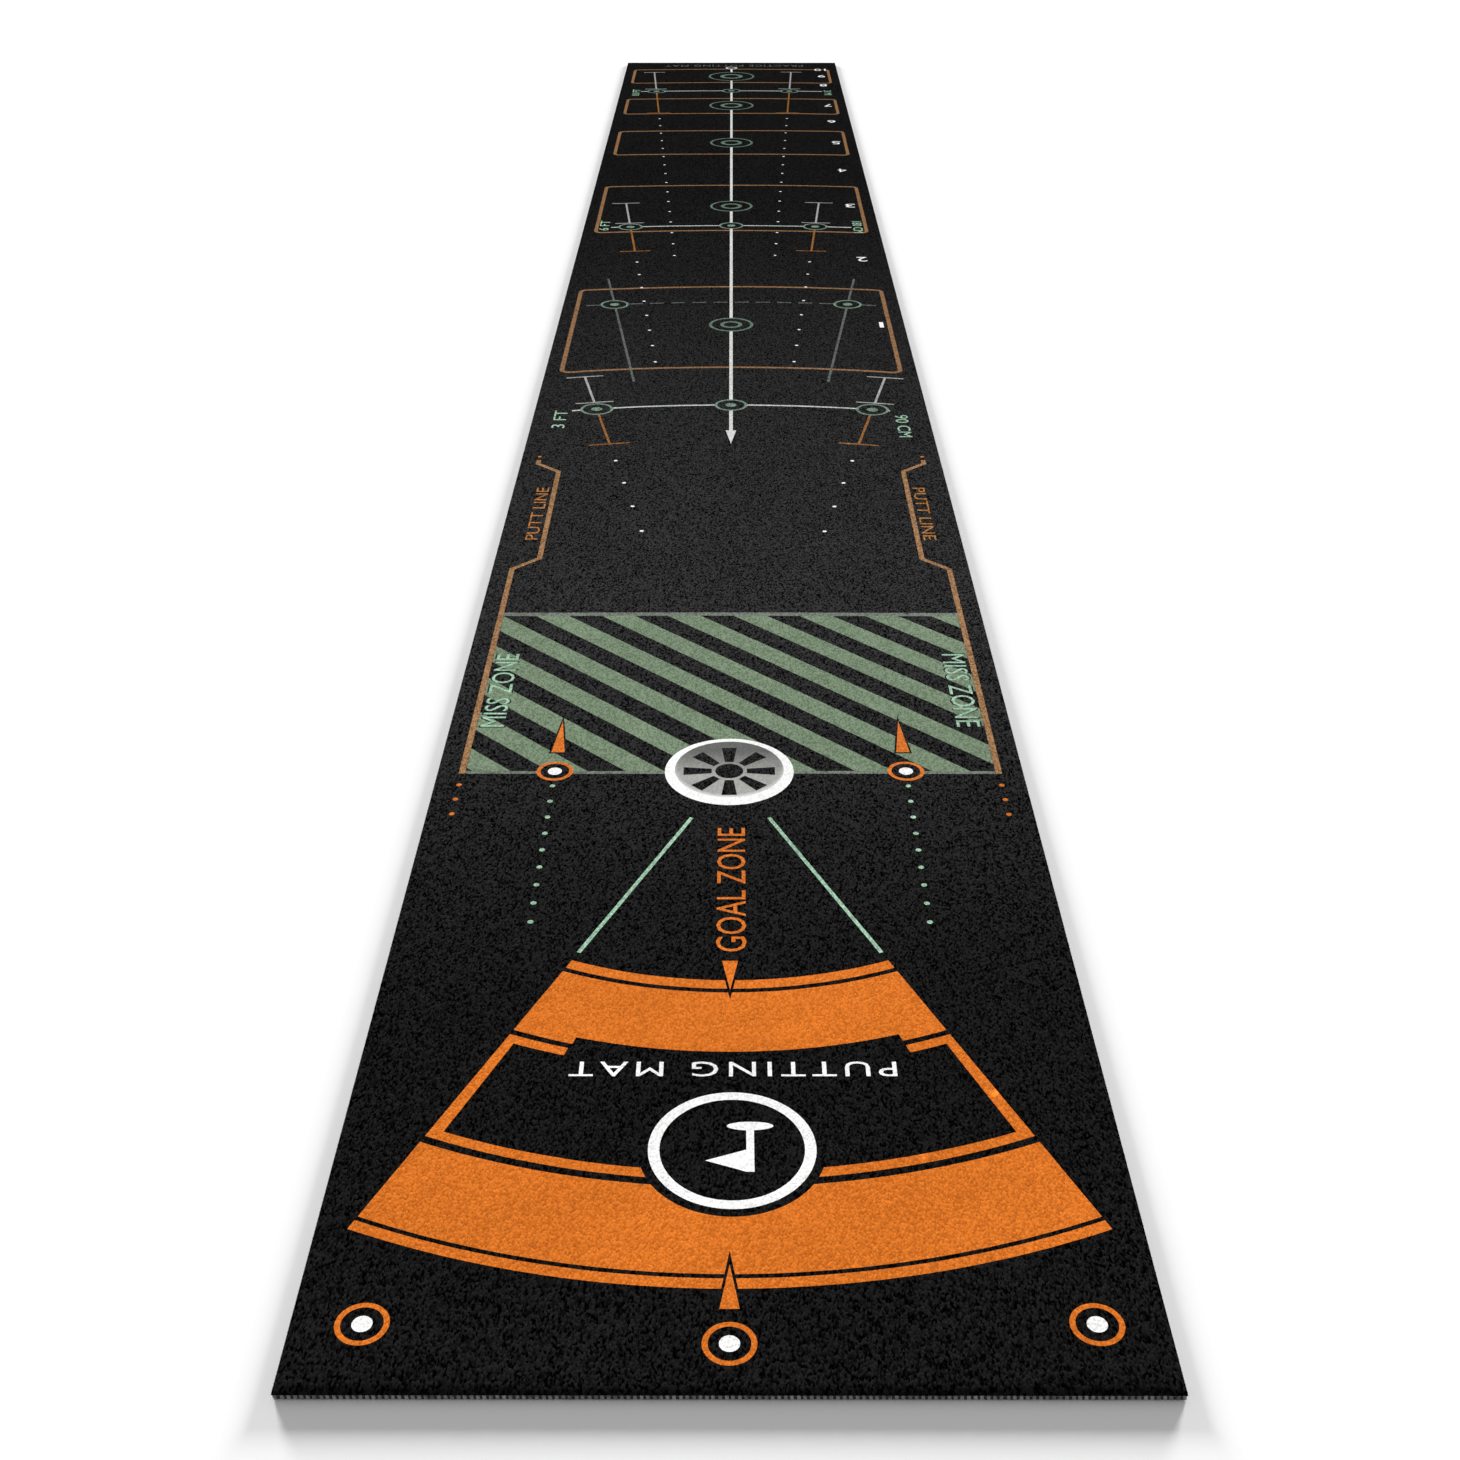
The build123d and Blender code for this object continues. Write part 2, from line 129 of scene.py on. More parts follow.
# words: across and along of their middle, height, length, turn, weight of the stroke and spacing
PART_WORDS = ((2, 271), 15.2, 220, 180, 0.0, 1.25)
GOAL_WORDS = ((0.8, 487), 22.5, 168, 90, 0.08)
END_WORDS = ((6, 3956), 22, 330, 180, 0.0, 1.1)
# words on both sides: across and along of their middle, then height, length and weight
MISS_WORDS = (212.3, 808.5, 21.5, 141, 0.06)
MISS_GROUND = (212.3, 808.5, 24.5, 144, 0.1)
PUTT_WORDS = (216.0, 1223.0, 14.0, 148, 0.03)
# text, middle across and along, length and turn of each distance
DISTANCE_HEIGHT, DISTANCE_WEIGHT = 16.5, 0.03
DISTANCES = [("3 FT", -215.5, 1523, 63, 90), ("90 CM", 215, 1499, 78, -90), ("6 FT", -215.5, 2470, 62, 90),
             ("180 CM", 214.5, 2461, 74, -90), ("10 FT", -214, 3628, 70, 90), ("3 M", 216, 3628, 50, -90)]
# radius, middle across and width of each lane number, from 1 up
NUMBER_HEIGHT, NUMBER_WEIGHT = 25, 0.04
LANE_NUMBERS = [(1253.0, 216.7, 6), (1600.0, 210, 17), (1945.0, 210, 17), (2213.0, 210, 17),
                (2452.0, 210, 17), (2654.0, 210, 17), (2825.0, 210, 17), (3052.0, 210, 17),
                (3162.0, 210, 17), (3243.0, 210, 27)]

marks = []


def twice_area(outline):
    """Twice the area inside an outline, above zero where it runs anticlockwise."""
    x, along = outline.T
    return np.dot(x, np.roll(along, -1)) - np.dot(along, np.roll(x, -1))


def paint(zone, outline):
    """Lays an outline over the ones before it, turned anticlockwise if it isn't. zone names the dyed pile
    that it shows, "pile" for black, or "hole" for what lies under the outline before."""
    outline = np.asarray(outline, float)
    marks.append((zone, outline if twice_area(outline) > 0 else outline[::-1]))


def around(x, along, radius, start=0.0, end=360.0):
    """Points on a circle or arc: centre plus radius times (cosine, sine) of evenly spaced angles. Their
    number grows with the root of the radius, which keeps every edge equally near the true curve."""
    steps = max(8, int(math.sqrt(radius) * abs(end - start) / 32) + 4)
    t = np.radians(np.linspace(start, end, steps, endpoint=end - start != 360.0))
    return np.stack([x + radius * np.cos(t), along + radius * np.sin(t)], 1)


def polar(radius, angle):
    """The place at a distance from the goal's centre, turned clockwise from the mat's length."""
    t = np.radians(angle)
    return np.stack([radius * np.sin(t), GOAL_AT + radius * np.cos(t)], -1)


def arc_band(inner, outer, left, right):
    """Part of a ring about the goal: one arc out and the other one back, between two directions, with a
    point about every 7 mm."""
    steps = max(2, int(abs(right - left) * outer / 400) + 2)
    t = np.linspace(left, right, steps)
    return np.concatenate([polar(outer, t), polar(inner, t[::-1])])


def goal_arc(inner, outer, half_angle=GOAL_ANGLE):
    """A band between two arcs on the goal's side, its ends in line with the goal's two edges."""
    return arc_band(inner, outer, 180 - half_angle, 180 + half_angle)


def stroke(start, end, width):
    """A straight line of a given width: its two ends, each shifted half the width to either side."""
    start, end = np.asarray(start, float), np.asarray(end, float)
    way = (end - start) / np.linalg.norm(end - start)
    side = np.array([-way[1], way[0]]) * width / 2
    return np.array([start - side, end - side, end + side, start + side])


def oblong(left, right, low, high):
    """The four corners of an upright box."""
    return [(left, low), (right, low), (right, high), (left, high)]


def trail(points, width):
    """A bent line of a given width: every corner is shifted along the mitre of its two runs."""
    p = np.asarray(points, float)
    way = np.diff(p, axis=0)
    way /= np.linalg.norm(way, axis=1)[:, None]
    normal = np.stack([-way[:, 1], way[:, 0]], 1)
    first, last = np.vstack([normal[:1], normal]), np.vstack([normal, normal[-1:]])
    mitre = (first + last) / (1 + (first * last).sum(1))[:, None]
    return np.concatenate([p + mitre * width / 2, (p - mitre * width / 2)[::-1]])


def lane_box(inner, outer, inset):
    """A box between two arcs about the goal and two straight sides, with rounded corners."""
    half, corner = BOX_HALF_WIDTH - inset, BOX_CORNER - inset
    low, high, out = inner + inset + corner, outer - inset - corner, half - corner
    low_turn, high_turn = (math.degrees(math.asin(out / r)) for r in (low, high))
    low_at, high_at = (GOAL_AT + math.sqrt(r * r - out * out) for r in (low, high))
    return np.concatenate([
        polar(inner + inset, np.linspace(-low_turn, low_turn, 40)),
        around(out, low_at, corner, 270 - low_turn, 360)[1:],
        around(out, high_at, corner, 0, 90 - high_turn),
        polar(outer - inset, np.linspace(high_turn, -high_turn, 40))[1:],
        around(-out, high_at, corner, 90 + high_turn, 180)[1:],
        around(-out, low_at, corner, 180, 270 + low_turn)[:-1]])


def clipped(outline, limit, sign):
    """The part of a convex outline where sign times x is less than sign times the limit."""
    kept = []
    for a, b in zip(outline, np.roll(outline, -1, axis=0)):
        a_in, b_in = (sign * p[0] <= sign * limit for p in (a, b))
        if a_in:
            kept.append(a)
        if a_in != b_in:
            kept.append(a + (b - a) * (limit - a[0]) / (b[0] - a[0]))
    return np.array(kept).reshape(-1, 2)


def pointer(x, base, tip):
    """A slim orange triangle in an undyed outline that runs on past its tip."""
    sign = 1 if tip > base else -1
    for zone, grow, reach in (("pile", CLEAR, POINTER_TAIL), ("orange_pointers", 0.0, 0.0)):
        half = POINTER_HALF_WIDTH + grow
        paint(zone, [(x - half, base - sign * grow), (x + half, base - sign * grow), (x, tip + sign * reach)])


def ring(zone, x, along, radius, line):
    """A round line of a given width on undyed pile: a full circle, then a black one inside it."""
    paint(zone, around(x, along, radius))
    paint("pile", around(x, along, radius - line))


def turned(points, angle):
    """Points turned anticlockwise about the middle by an angle in degrees."""
    c, s = math.cos(math.radians(angle)), math.sin(math.radians(angle))
    return points @ np.array([[c, s], [-s, c]])


def lettering(zone, text, centre, height, length, turn, weight=0.0, spacing=1.0):
    """Plain letters from the built-in sans font, stretched to a height and a length, then turned. An outline
    that runs the other way round than the largest one is a hole, which shows what lies under the letter."""
    data = bpy.data.curves.new("letters", "FONT")
    data.body, data.resolution_u, data.offset, data.space_character = text, 3, weight, spacing
    data.fill_mode = "NONE"
    source = bpy.data.objects.new("letters", data)
    mesh = bpy.data.meshes.new_from_object(source)
    flat = np.array([v.co[:2] for v in mesh.vertices])
    flat = (flat - (flat.max(0) + flat.min(0)) / 2) / np.ptp(flat, axis=0) * (length, height)
    flat = turned(flat, turn) + centre
    ends = [edge.vertices[:] for edge in mesh.edges if edge.vertices[1] < edge.vertices[0]]
    loops = [flat[first:last + 1] for last, first in ends]
    areas = [twice_area(loop) for loop in loops]
    outer = max(areas, key=abs) > 0
    for loop, area in zip(loops, areas):
        paint(zone if (area > 0) == outer else "hole", loop)
    bpy.data.objects.remove(source)
    bpy.data.meshes.remove(mesh)


# --- the short-putt zone: 45 degree stripes between two plain edges ------------------------------------
low, high = SHORT_FROM + SHORT_NEAR_LINE, SHORT_TO - SHORT_FAR_LINE
for start, end in ((SHORT_FROM, low), (high, SHORT_TO)):
    paint("grey_short_edges", oblong(-SHORT_HALF_WIDTH, SHORT_HALF_WIDTH, start, end))
for k in STRIPES:
    left = STRIPE_START + k * STRIPE_PITCH
    right = left + STRIPE_PITCH / 2
    band = np.array([(left - low, low), (right - low, low), (right - high, high), (left - high, high)])
    band = clipped(clipped(band, SHORT_HALF_WIDTH, 1), -SHORT_HALF_WIDTH, -1)
    if len(band) > 2:
        paint("green_short_stripes", band)

# --- lane boxes and the lines down both sides ----------------------------------------------------------
for inner, outer, middle, size in BOXES:
    paint("orange_lane_boxes", lane_box(inner, outer, 0.0))
    paint("pile", lane_box(inner, outer, BOX_LINE))
for side in (-1, 1):
    paint("orange_side_lines", trail(np.array(SIDE_ROUTE) * (side, 1), SIDE_LINE))
    for along in SIDE_DOTS:
        paint("orange_side_dots", around(side * SIDE_X, along, DOT))
    for along in GOAL_DOTS:
        paint("green_goal_dots", around(side * SPOT_X, along, DOT))
    paint("green_aim_lines", stroke(np.array(AIM_FROM) * (side, 1), np.array(AIM_TO) * (side, 1), AIM_LINE))

# --- the orange goal: two bands, their lines, and the panel between them -------------------------------
paint("orange_goal_lines", goal_arc(PANEL_IN, PANEL_OUT))
panel_turn = math.degrees(PANEL_LINE * 2 / (PANEL_IN + PANEL_OUT))
paint("pile", goal_arc(PANEL_IN + PANEL_LINE, PANEL_OUT - PANEL_LINE, GOAL_ANGLE - panel_turn))
paint("pile", arc_band(PANEL_GAP, PANEL_IN + PANEL_LINE + 1, PANEL_GAP_LEFT, PANEL_GAP_RIGHT))
for zone, bands in (("orange_goal_lines", GOAL_LINES), ("orange_goal_bands", GOAL_BANDS)):
    for band in bands:
        paint(zone, goal_arc(*band))
paint("pile", arc_band(NOTCH_IN, NOTCH_OUT, NOTCH_LEFT, NOTCH_RIGHT))
paint("pile", around(ROUNDEL_X, ROUNDEL_AT, ROUNDEL_CLEAR))
ring("white_roundel_ring", ROUNDEL_X, ROUNDEL_AT, ROUNDEL_RADIUS, ROUNDEL_LINE)
flag_foot = around(0, 0, FLAG_FOOT_RADIUS) * (1, FLAG_FOOT_SQUASH) + FLAG_FOOT
for outline in (np.array(FLAG), flag_foot):
    paint("white_roundel_flag", (ROUNDEL_X, FLAG_AT) - outline)

# --- distance lines, dashes, rays, gates and the centre arrow ------------------------------------------
for radius, angles, _ in LINES:
    reach = math.degrees(LINE_HALF_WIDTH / radius)
    line = arc_band(radius - LINE_HALF_THICK, radius + LINE_HALF_THICK, -reach, reach)
    paint("white_distance_lines", line)
for k in DASHES:
    middle, half = math.degrees(DASH_PITCH / FAN_ARC) * (k + 0.5), math.degrees(HALF_DASH / FAN_ARC)
    dash = arc_band(FAN_ARC - DASH_HALF_THICK, FAN_ARC + DASH_HALF_THICK, middle - half, middle + half)
    paint("grey_fan_dashes", dash)
for angle in FAN_ANGLES:
    paint("green_fan_rays", stroke(polar(FAN_FROM, angle), polar(FAN_TO, angle), FAN_LINE))
for radius, angles, (orange, near, far) in LINES:
    for angle in angles:
        turn = math.radians(angle)
        across = np.array([math.cos(turn), -math.sin(turn)]) * GATE_HALF_BAR
        paint("orange_gates", stroke(polar(orange, angle), polar(radius - MARK_RADIUS, angle), GATE_LINE))
        paint("white_gates", stroke(polar(near, angle), polar(far, angle), GATE_LINE))
        for zone, at in (("orange_gates", orange), ("white_gates", near), ("white_gates", far)):
            paint(zone, stroke(polar(at, angle) - across, polar(at, angle) + across, GATE_LINE))
for first, count, angles in DOT_RUNS:
    for angle in angles:
        for k in range(count):
            paint("white_putt_dots", around(*polar(first + DOT_PITCH * k, angle), DOT))
head = [(-ARROW_HALF_WIDTH, CENTRE_FROM), (0, ARROW_TIP), (ARROW_HALF_WIDTH, CENTRE_FROM)]
paint("white_centre_arrow", oblong(-CENTRE_HALF_LINE, CENTRE_HALF_LINE, CENTRE_FROM, CENTRE_TO))
paint("white_centre_arrow", head)
ring("white_centre_arrow", 0, TAIL_AT, TAIL_RADIUS, TAIL_LINE)
paint("pile", oblong(*TAIL_CUT))

# --- round marks, each on undyed pile ------------------------------------------------------------------
for radius, angles, _ in LINES:
    for angle in (angles[0], 0.0, angles[1]):
        ring("green_distance_marks", *polar(radius, angle), MARK_RADIUS, MARK_LINE)
        paint("green_distance_marks", around(*polar(radius, angle), MARK_DOT))
for angle in FAN_ANGLES:
    ring("green_fan_marks", *polar(FAN_ARC, angle), MARK_RADIUS, MARK_LINE)
    paint("green_fan_marks", around(*polar(FAN_ARC, angle), MARK_DOT))
for inner, outer, middle, size in BOXES:
    ring("green_lane_marks", 0, GOAL_AT + middle, size, LANE_RING_LINE)
    ring("green_lane_marks", 0, GOAL_AT + middle, size * INNER_RING, size * INNER_RING_LINE)
for x, base, tip in POINTERS:
    pointer(x, base, tip)
for x, along in BALL_SPOTS:
    ring("orange_ball_rings", x, along, SPOT_RADIUS, SPOT_LINE)
    paint("white_ball_spots", around(x, along, SPOT_DOT))

# --- the target disc: a white rim round a grey face with eight black slots and a black hub -------------
paint("white_target_rim", around(DISC_X, GOAL_AT, DISC_RADIUS))
paint("grey_target_face", around(DISC_X, GOAL_AT + DISC_FACE_SHIFT, DISC_FACE_RADIUS))
paint("pile", around(DISC_X, GOAL_AT, DISC_HUB_RADIUS))
for k in range(DISC_SLOTS):
    paint("pile", turned(np.array(DISC_SLOT), 360 / DISC_SLOTS * k) + (DISC_X, GOAL_AT))

# --- plain lettering: distances, lane numbers and what each zone is for --------------------------------
lettering("white_lettering", "PUTTING MAT", *PART_WORDS)
lettering("orange_lettering", "GOAL ZONE", *GOAL_WORDS)
for side, turn in ((-1, 90), (1, -90)):
    for zone, text, (x, along, height, length, weight) in (
            ("pile", "MISS ZONE", MISS_GROUND), ("green_lettering", "MISS ZONE", MISS_WORDS),
            ("orange_side_lettering", "PUTT LINE", PUTT_WORDS)):
        lettering(zone, text, (side * x, along), height, length, turn, weight)
for text, x, along, length, turn in DISTANCES:
    lettering("green_lettering", text, (x, along), DISTANCE_HEIGHT, length, turn, DISTANCE_WEIGHT)
for number, (radius, x, width) in enumerate(LANE_NUMBERS, 1):
    lettering("white_lettering", str(number), (x, GOAL_AT + radius), NUMBER_HEIGHT, width, 180, NUMBER_WEIGHT)
lettering("grey_lettering", "PRACTICE PUTTING MAT", *END_WORDS)


# --- one map of the whole pile -------------------------------------------------------------------------
def divided(outline, step=9.0):
    """The same outline with extra points, so that no edge is longer than the step."""
    runs = []
    for a, b in zip(outline, np.roll(outline, -1, axis=0)):
        count = max(1, int(np.ceil(np.linalg.norm(b - a) / step)))
        runs.append(a + (b - a) * np.linspace(0, 1, count, endpoint=False)[:, None])
    return np.concatenate(runs)


def tuft_points(step=MAP_STEP):
    """Points over the whole mat: an even grid with every point moved at random, and rows by the edges."""
    x = np.arange(-HALF_WIDTH + 7, HALF_WIDTH - 6, step)
    y = np.arange(-HALF_LENGTH + 7, HALF_LENGTH - 6, step)
    grid = np.stack(np.meshgrid(x, y), -1).reshape(-1, 2)
    grid += RANDOM.uniform(-0.34, 0.34, grid.shape) * step
    rows = [grid]
    for inset in EDGE_ROWS:
        w, l = HALF_WIDTH - inset, HALF_LENGTH - inset
        rows.append(divided(np.array(oblong(-w, w, -l, l)), EDGE_STEP + inset))
    return np.concatenate(rows)


def pile_map():
    """Joins all outlines and tuft points into triangles, and gives each triangle its topmost zone."""
    edge = divided(np.array(oblong(-HALF_WIDTH, HALF_WIDTH, -HALF_LENGTH, HALF_LENGTH)), EDGE_STEP)
    outlines = [edge] + [divided(o - (0, HALF_LENGTH)) for _, o in marks]
    starts = np.cumsum([0] + [len(o) for o in outlines])
    faces = [list(range(a, b)) for a, b in zip(starts[:-1], starts[1:])]
    points = np.concatenate(outlines + [tuft_points()])
    out = delaunay_2d_cdt([tuple(p) for p in points], [], faces, 1, 1e-4)
    zone_names = ["pile"] + [zone for zone, _ in marks]

    def shown(owners):
        covers = sorted(owners)
        while zone_names[covers[-1]] == "hole":
            covers = covers[:-2]
        return zone_names[covers[-1]]

    zones = np.array([shown(owners) for owners in out[5]])
    flat, triangles = np.array([tuple(p) for p in out[0]]), np.array(out[2])
    a, b, c = (flat[triangles[:, k]] for k in range(3))
    upside_down = (b[:, 0] - a[:, 0]) * (c[:, 1] - a[:, 1]) - (b[:, 1] - a[:, 1]) * (c[:, 0] - a[:, 0]) < 0
    triangles[upside_down] = triangles[upside_down][:, ::-1]
    return flat, triangles, zones


def pile_height(flat):
    """Height of the tuft tips: soft waves of four lengths, from how the mat was rolled down to how the
    tufts lean together, and a rounded drop over the last few millimetres before the rim."""
    x, y = flat[:, 0], flat[:, 1]
    waves = 0.16 * np.sin(x / 61 + 1.7 * np.sin(y / 233)) + 0.14 * np.sin(y / 97 + x / 143)
    waves += 0.05 * np.sin(x / 11 - y / 17) * np.sin(y / 13 + x / 31)
    waves += 0.04 * np.sin(x / 4.1 + 2 * np.sin(y / 23)) * np.sin(y / 4.7 + 2 * np.sin(x / 19))
    rim = np.minimum(HALF_WIDTH - np.abs(x), HALF_LENGTH - np.abs(y))
    grown, rounded = np.clip(rim / WAVE_CALM, 0, 1), np.clip(1 - rim / RIM_REACH, 0, 1) ** 2
    return PILE_TOP - WAVE_ROOM + waves * grown - RIM_DROP * rounded


def borders(triangles, count):
    """The directed edges that only one triangle has, so that they go once round every patch."""
    edges = np.concatenate([triangles[:, [0, 1]], triangles[:, [1, 2]], triangles[:, [2, 0]]])
    forward, back = edges[:, 0] * count + edges[:, 1], edges[:, 1] * count + edges[:, 0]
    return edges[~np.isin(forward, back)]


def new_piece(name, points, faces, material, smooth_faces=None):
    """Puts points in millimetres and faces into a mesh in metres, which rides on the mat's one body. Only
    the first so many faces are shaded smooth, or all of them; the walls after them stay crisp."""
    mesh = bpy.data.meshes.new(name)
    mesh.from_pydata((np.asarray(points) * MM).tolist(), [], faces)
    mesh.polygons.foreach_set("use_smooth", np.arange(len(faces)) < (smooth_faces or len(faces)))
    mesh.materials.append(material)
    piece = bpy.data.objects.new(name, mesh)
    bpy.context.scene.collection.objects.link(piece)
    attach(piece, "root")
    return piece


def block(name, flat, top, triangles, foot, material):
    """A closed block: triangles at their tip heights, the same ones turned over at the foot, and a wall
    along every edge that only one triangle has. Walls have points of their own, so that the light on the
    top doesn't turn with them."""
    used, local = np.unique(triangles, return_inverse=True)
    local = local.reshape(-1, 3)
    n = len(used)
    high = np.column_stack([flat[used], top[used]])
    low = np.column_stack([flat[used], np.full(n, foot)])
    rim = borders(local, n)
    walls = np.column_stack([rim[:, 1] + n, rim[:, 0] + n, rim[:, 0] + 2 * n, rim[:, 1] + 2 * n])
    faces = local.tolist() + (local[:, ::-1] + 2 * n).tolist() + walls.tolist()
    points = np.concatenate([high, high, low])
    return new_piece(name, points, faces, material, len(local))


# --- finishes ------------------------------------------------------------------------------------------
def linear(code):
    """A hex colour as people write it, turned into the linear red, green, blue and alpha of the shader."""
    shown = np.array([int(code[k:k + 2], 16) for k in (0, 2, 4)]) / 255
    light = np.where(shown <= 0.04045, shown / 12.92, ((shown + 0.055) / 1.055) ** 2.4)
    return (*light, 1.0)


def add(tree, kind, inputs, **options):
    """Adds one node: its options, and for each of its inputs a value or the output that feeds it."""
    made = tree.nodes.new("ShaderNode" + kind)
    for name, value in options.items():
        setattr(made, name, value)
    for name, value in inputs.items():
        if isinstance(value, bpy.types.NodeSocket):
            tree.links.new(value, made.inputs[name])
        else:
            made.inputs[name].default_value = value
    return made


def finish(name):
    """A new material with an empty shader, its output and a place to read."""
    made = bpy.data.materials.new(name)
    made.use_nodes = True
    tree = made.node_tree
    tree.nodes.clear()
    place = add(tree, "TexCoord", {}).outputs["Object"]
    shader = add(tree, "BsdfPrincipled", {})
    add(tree, "OutputMaterial", {"Surface": shader.outputs["BSDF"]})
    return made, tree, place, shader


def cut_pile(name, tip, root, relief=0.25):
    """Cut nylon pile: every tuft catches the light a little differently, and its tip is lighter than its
    root. Tufts stand 1.2 mm apart, and the yarn's shade changes over 1.9 mm and in finer steps down to
    0.25 mm. The pile is combed along the mat, so both look twice as long as they are wide. Patches about
    120 mm long are brushed a little lighter or darker. From the orange goal on, a painted sheen mixes light
    grey into the speckled colour, most of all a quarter of the way along the mat, and hardly any at seven
    tenths of it."""
    made, tree, place, shader = finish(name)
    combed = add(tree, "Mapping", {"Vector": place, "Scale": (1.0, 0.5, 1.0)}).outputs["Vector"]
    tuft = add(tree, "TexVoronoi", {"Vector": combed, "Scale": 1 / (1.2 * MM)})
    yarn = add(tree, "TexNoise", {"Vector": combed, "Scale": 1 / (1.9 * MM), "Detail": 3.0, "Roughness": 0.8})
    brushed = add(tree, "TexNoise", {"Vector": place, "Scale": 1 / (120 * MM), "Detail": 3.0})
    own = add(tree, "SeparateColor", {"Color": tuft.outputs["Color"]})
    both = add(tree, "Math", {0: own.outputs["Red"], 1: yarn.outputs["Fac"]}, operation="ADD")
    speckle = add(tree, "MapRange", {"Value": both.outputs[0], "From Min": 0.6, "From Max": 1.35})
    colour = add(tree, "Mix", {"Factor": speckle.outputs[0], 6: linear(root), 7: linear(tip)},
                 data_type="RGBA")
    shade = add(tree, "MapRange", {"Value": brushed.outputs["Fac"], "From Min": 0.3, "From Max": 0.7,
                                   "To Min": 0.92, "To Max": 1.08})
    value = add(tree, "HueSaturation", {"Color": colour.outputs[2], "Value": shade.outputs[0]})
    # painted sheen: light grey mixed into the colour by place along the mat, standing in for light on the
    # pile
    axes = add(tree, "SeparateXYZ", {"Vector": place})
    rise = add(tree, "MapRange", {"Value": axes.outputs["Y"], "From Min": SHEEN_FROM * MM,
                                  "From Max": SHEEN_MOST * MM}, interpolation_type="SMOOTHSTEP")
    fall = add(tree, "MapRange", {"Value": axes.outputs["Y"], "From Min": SHEEN_MOST * MM,
                                  "From Max": SHEEN_TO * MM, "To Min": 1.0, "To Max": 0.02},
               interpolation_type="SMOOTHSTEP")
    painted_sheen = add(tree, "Math", {0: rise.outputs[0], 1: fall.outputs[0]}, operation="MULTIPLY")
    uneven_sheen = add(tree, "Math", {0: painted_sheen.outputs[0], 1: speckle.outputs[0]}, operation="MULTIPLY")
    sheen_share = add(tree, "Math", {0: uneven_sheen.outputs[0], 1: SHEEN_GREY}, operation="MULTIPLY")
    sheened = add(tree, "Mix", {"Factor": sheen_share.outputs[0], 6: value.outputs["Color"], 7: linear("bcbcbc")},
                 data_type="RGBA")
    depth = add(tree, "Math", {0: yarn.outputs["Fac"], 1: tuft.outputs["Distance"]}, operation="SUBTRACT")
    bump = add(tree, "Bump", {"Height": depth.outputs[0], "Strength": relief, "Distance": 0.5 * MM})
    tree.links.new(sheened.outputs[2], shader.inputs["Base Color"])
    tree.links.new(bump.outputs["Normal"], shader.inputs["Normal"])
    shader.inputs["Roughness"].default_value = 0.95
    shader.inputs["Specular IOR Level"].default_value = 0.0
    return made


def shaded_disc_pile():
    """The printed disc's face: dyed mid grey, darker at its far side, and running out to white near its rim
    at the near side, so that a flat print looks like a shallow bowl. The tones are read from the place along
    the mat and from the distance to a point a little beyond the disc's middle."""
    made = cut_pile("dyed_cut_pile_shaded_grey", "a9aaa6", "999a96")
    tree = made.node_tree
    shader = next(n for n in tree.nodes if n.type == "BSDF_PRINCIPLED")
    place = next(n for n in tree.nodes if n.type == "TEX_COORD").outputs["Object"]
    middle = (GOAL_AT - HALF_LENGTH) * MM
    axes = add(tree, "SeparateXYZ", {"Vector": place})
    fade = add(tree, "MapRange", {"Value": axes.outputs["Y"], "From Min": middle - 8 * MM,
                                  "From Max": middle + 34 * MM, "To Min": 1.0, "To Max": 0.36})
    away = add(tree, "VectorMath", {0: place, 1: (DISC_X * MM, middle + 7 * MM, PILE_TOP * MM)},
               operation="DISTANCE")
    bright = add(tree, "MapRange", {"Value": away.outputs["Value"], "From Min": 43 * MM, "From Max": 54 * MM},
                 interpolation_type="SMOOTHSTEP")
    dyed = shader.inputs["Base Color"].links[0].from_socket
    toned = add(tree, "HueSaturation", {"Color": dyed, "Value": fade.outputs[0]})
    rimmed = add(tree, "Mix", {"Factor": bright.outputs[0], 6: toned.outputs["Color"], 7: linear("f4f4f2")},
                 data_type="RGBA")
    tree.links.new(rimmed.outputs[2], shader.inputs["Base Color"])
    return made


def looper_thread():
    """Texturised polyester overlock thread: soft, matt charcoal yarn. Its filaments are drawn 0.35 mm
    apart and its colour drifts a little over 6 mm."""
    made, tree, place, shader = finish("texturised_polyester_thread")
    filament = add(tree, "TexNoise", {"Vector": place, "Scale": 1 / (0.35 * MM), "Detail": 2.0})
    drift = add(tree, "TexNoise", {"Vector": place, "Scale": 1 / (6 * MM), "Detail": 1.0})
    both = add(tree, "Math", {0: filament.outputs["Fac"], 1: drift.outputs["Fac"]}, operation="MULTIPLY")
    fade = add(tree, "MapRange", {"Value": both.outputs[0], "From Min": 0.12, "From Max": 0.42})
    colour = add(tree, "Mix", {"Factor": fade.outputs[0], 6: linear("4a4a4c"), 7: linear("a6a6a9")},
                 data_type="RGBA")
    bump = add(tree, "Bump", {"Height": filament.outputs["Fac"], "Strength": 0.5, "Distance": 0.15 * MM})
    tree.links.new(colour.outputs[2], shader.inputs["Base Color"])
    tree.links.new(bump.outputs["Normal"], shader.inputs["Normal"])
    shader.inputs["Roughness"].default_value = 0.75
    shader.inputs["Sheen Weight"].default_value = 0.3
    return made


